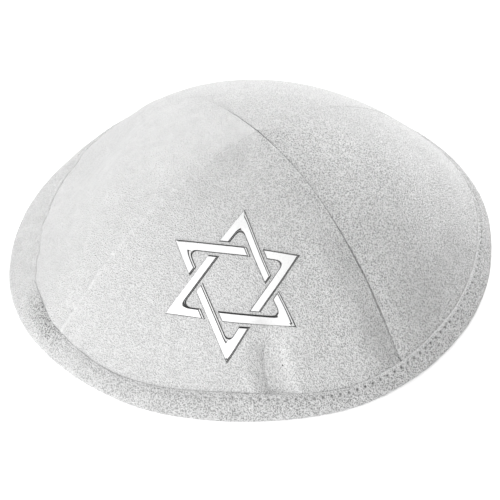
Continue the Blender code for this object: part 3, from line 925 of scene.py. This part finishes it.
# Greys blended between stops, each given as a place and a grey.
def addRamp(tree, value, stops):
    ramp = addNode(tree, "ShaderNodeValToRGB")
    elements = ramp.color_ramp.elements
    while len(elements) < len(stops):
        elements.new(0.5)
    for element, (position, grey) in zip(elements, stops):
        element.position = position
        element.color = (grey, grey, grey, 1.0)
    tree.links.new(value, ramp.inputs["Fac"])
    return ramp.outputs["Color"]


def addBump(tree, height, strength, distance, before=None):
    bump = addNode(tree, "ShaderNodeBump")
    bump.inputs["Strength"].default_value = strength
    bump.inputs["Distance"].default_value = distance
    tree.links.new(height, bump.inputs["Height"])
    if before is not None:
        tree.links.new(before, bump.inputs["Normal"])
    return bump.outputs["Normal"]


def multiply(tree, first, second, share):
    mix = addNode(tree, "ShaderNodeMix", data_type="RGBA", blend_type="MULTIPLY")
    if isinstance(share, float):
        mix.inputs["Factor"].default_value = share
    else:
        tree.links.new(share, mix.inputs["Factor"])
    tree.links.new(first, mix.inputs[6])
    tree.links.new(second, mix.inputs[7])
    return mix.outputs[2]


# Brushed suede: mottled colour under the nap's grain, which is as strong as the piece's nap mark says. The tone mark
# brings painted shade into seams and holes, painted highlights onto ridges, and painted light and shade in patches.
# Two bumps raise the tufts, and a sheen shows at grazing angles.
def suedeFinish(name, look):
    material, tree, shader = newMaterial(name, suedeLooks["sockets"])
    mottle = addNoise(tree, suedeLooks["mottle"], 3.0)
    mottled = addRamp(tree, mottle, [(0.3, look["dark"]), (0.7, look["light"])])
    tufts = addNoise(tree, look["grain"], 0.0)
    grain = addRamp(tree, tufts, [(0.28, look["speck"]), (0.5, look["middle"]), (0.68, 1.0)])
    nap = addNode(tree, "ShaderNodeAttribute", attribute_name="nap")
    napped = multiply(tree, mottled, grain, nap.outputs["Fac"])
    tone = addNode(tree, "ShaderNodeAttribute", attribute_name="tone")
    shade = addRamp(tree, tone.outputs["Fac"], suedeLooks["shades"])
    tree.links.new(multiply(tree, napped, shade, 1.0), shader.inputs["Base Color"])
    clumps = addNoise(tree, look["grain"] * 0.4, 1.0)
    coarse = addBump(tree, clumps, 1.0, look["depth"] * 0.3)
    tree.links.new(addBump(tree, tufts, 1.0, look["depth"], coarse), shader.inputs["Normal"])
    return material


# Matt thread: two greys mixed by a fine noise, with a finer one for its twist.
def threadFinish(name, look):
    material, tree, shader = newMaterial(name, look["sockets"])
    strands = addNoise(tree, look["strands"], 2.0)
    colour = addRamp(tree, strands, [(0.3, look["dark"]), (0.7, look["light"])])
    tree.links.new(colour, shader.inputs["Base Color"])
    twist = addNoise(tree, look["twist"], 1.0)
    tree.links.new(addBump(tree, twist, 0.5, look["depth"]), shader.inputs["Normal"])
    return material


# Silver foil pressed onto suede: bright metal whose face is faintly dimpled by the nap below.
def foilFinish(name, look):
    material, tree, shader = newMaterial(name, look["sockets"])
    speckle = addRamp(tree, addNoise(tree, 1500.0, 3.0), [(0.28, look["dark"]), (0.5, look["light"])])
    tree.links.new(speckle, shader.inputs["Base Color"])
    tree.links.new(addBump(tree, addNoise(tree, 900.0, 3.0), 0.25, 0.06 * mm), shader.inputs["Normal"])
    return material


# Studio.

view = {
    "azimuth": 7.45,
    "elevation": 43.825,
    "roll": -0.35,
    "distance": 0.595,
    "offset": (-1.4535 * mm, -1.496 * mm),
    "lens": 119.86,
}


# The direction of an azimuth and an elevation, in degrees.
def towards(azimuth, elevation):
    a, e = math.radians(azimuth), math.radians(elevation)
    return Vector((math.sin(a) * math.cos(e), -math.cos(a) * math.cos(e), math.sin(e)))


# The camera stands off along its back direction from a point near the middle, and is rolled about its own axis.
def makeCamera():
    back = towards(view["azimuth"], view["elevation"])
    right = towards(view["azimuth"] + 90.0, 0.0)
    roll = math.radians(view["roll"])
    up = back.cross(right)
    place = right * view["offset"][0] + up * view["offset"][1] + back * view["distance"]
    imageRight = right * math.cos(roll) + up * math.sin(roll)
    imageUp = up * math.cos(roll) - right * math.sin(roll)
    data = bpy.data.cameras.new("camera")
    data.lens = view["lens"]
    data.clip_start = 0.01
    camera = bpy.data.objects.new("camera", data)
    camera.matrix_world = Matrix.Translation(place) @ Matrix((imageRight, imageUp, back)).transposed().to_4x4()
    bpy.context.scene.collection.objects.link(camera)
    bpy.context.scene.camera = camera


# Three broad lamps and an even room. A lamp's brightness is its light on a white card, its softness is in degrees.
studio = {
    "room": 0.255,
    "lamps": [
        # name, azimuth, elevation, brightness, softness
        ("top_lamp", -6.0, 62.0, 0.34, 68.0),
        ("back_lamp", 165.0, 15.0, 1.10, 45.0),
        ("side_lamp", -42.0, 15.0, 0.555, 45.0),
    ],
    "floorSide": 8.0,
    "floor": {
        "Base Color": (0.93, 0.93, 0.93, 1.0), "Roughness": 0.9,
        "Emission Color": (1.0, 1.0, 1.0, 1.0), "Emission Strength": 0.35,
    },
}


# An even white room, the lamps, and a pale floor that glows a little, so that it renders white.
def makeStudio():
    world = bpy.data.worlds.new("studio")
    world.use_nodes = True
    background = world.node_tree.nodes["Background"]
    background.inputs["Color"].default_value = (1.0, 1.0, 1.0, 1.0)
    background.inputs["Strength"].default_value = studio["room"]
    bpy.context.scene.world = world
    for name, azimuth, elevation, brightness, softness in studio["lamps"]:
        lamp = bpy.data.lights.new(name, "SUN")
        lamp.energy = brightness * math.pi
        lamp.angle = math.radians(softness)
        stand = bpy.data.objects.new(name, lamp)
        stand.rotation_euler = towards(azimuth, elevation).to_track_quat("Z", "Y").to_euler()
        bpy.context.scene.collection.objects.link(stand)
    half = studio["floorSide"] / 2
    mesh = bpy.data.meshes.new("floor")
    mesh.from_pydata([(-half, -half, 0), (half, -half, 0), (half, half, 0), (-half, half, 0)], [], [(0, 1, 2, 3)])
    floor = bpy.data.objects.new("floor", mesh)
    mesh.materials.append(newMaterial("floor_paper", studio["floor"])[0])
    bpy.context.scene.collection.objects.link(floor)
    bpy.context.scene.view_settings.view_transform = "Standard"


makeCamera()
makeStudio()
print("studio ready")

panelSuede = suedeFinish("brushed_suede", suedeLooks["panels"])
bindingSuede = suedeFinish("binding_suede_nap", suedeLooks["binding"])
thread = threadFinish("topstitch_thread", threadLook)
foils = [foilFinish(name, look) for name, look in foilLooks.items()]
print("finishes ready")

for node in panelEdges:
    makePanel("suede_" + node, node, panelSuede)
print("panels ready")
makeBinding("suede_rim_binding", bindingSuede)
makeStitching("rim_topstitching", thread)
print("binding ready")
plane = starPlane()
for index in range(star["points"]):
    makeStarPoint(f"foil_star_point_{index + 1}", f"star_point_{index + 1}", index, plane, foils)
print("star ready")
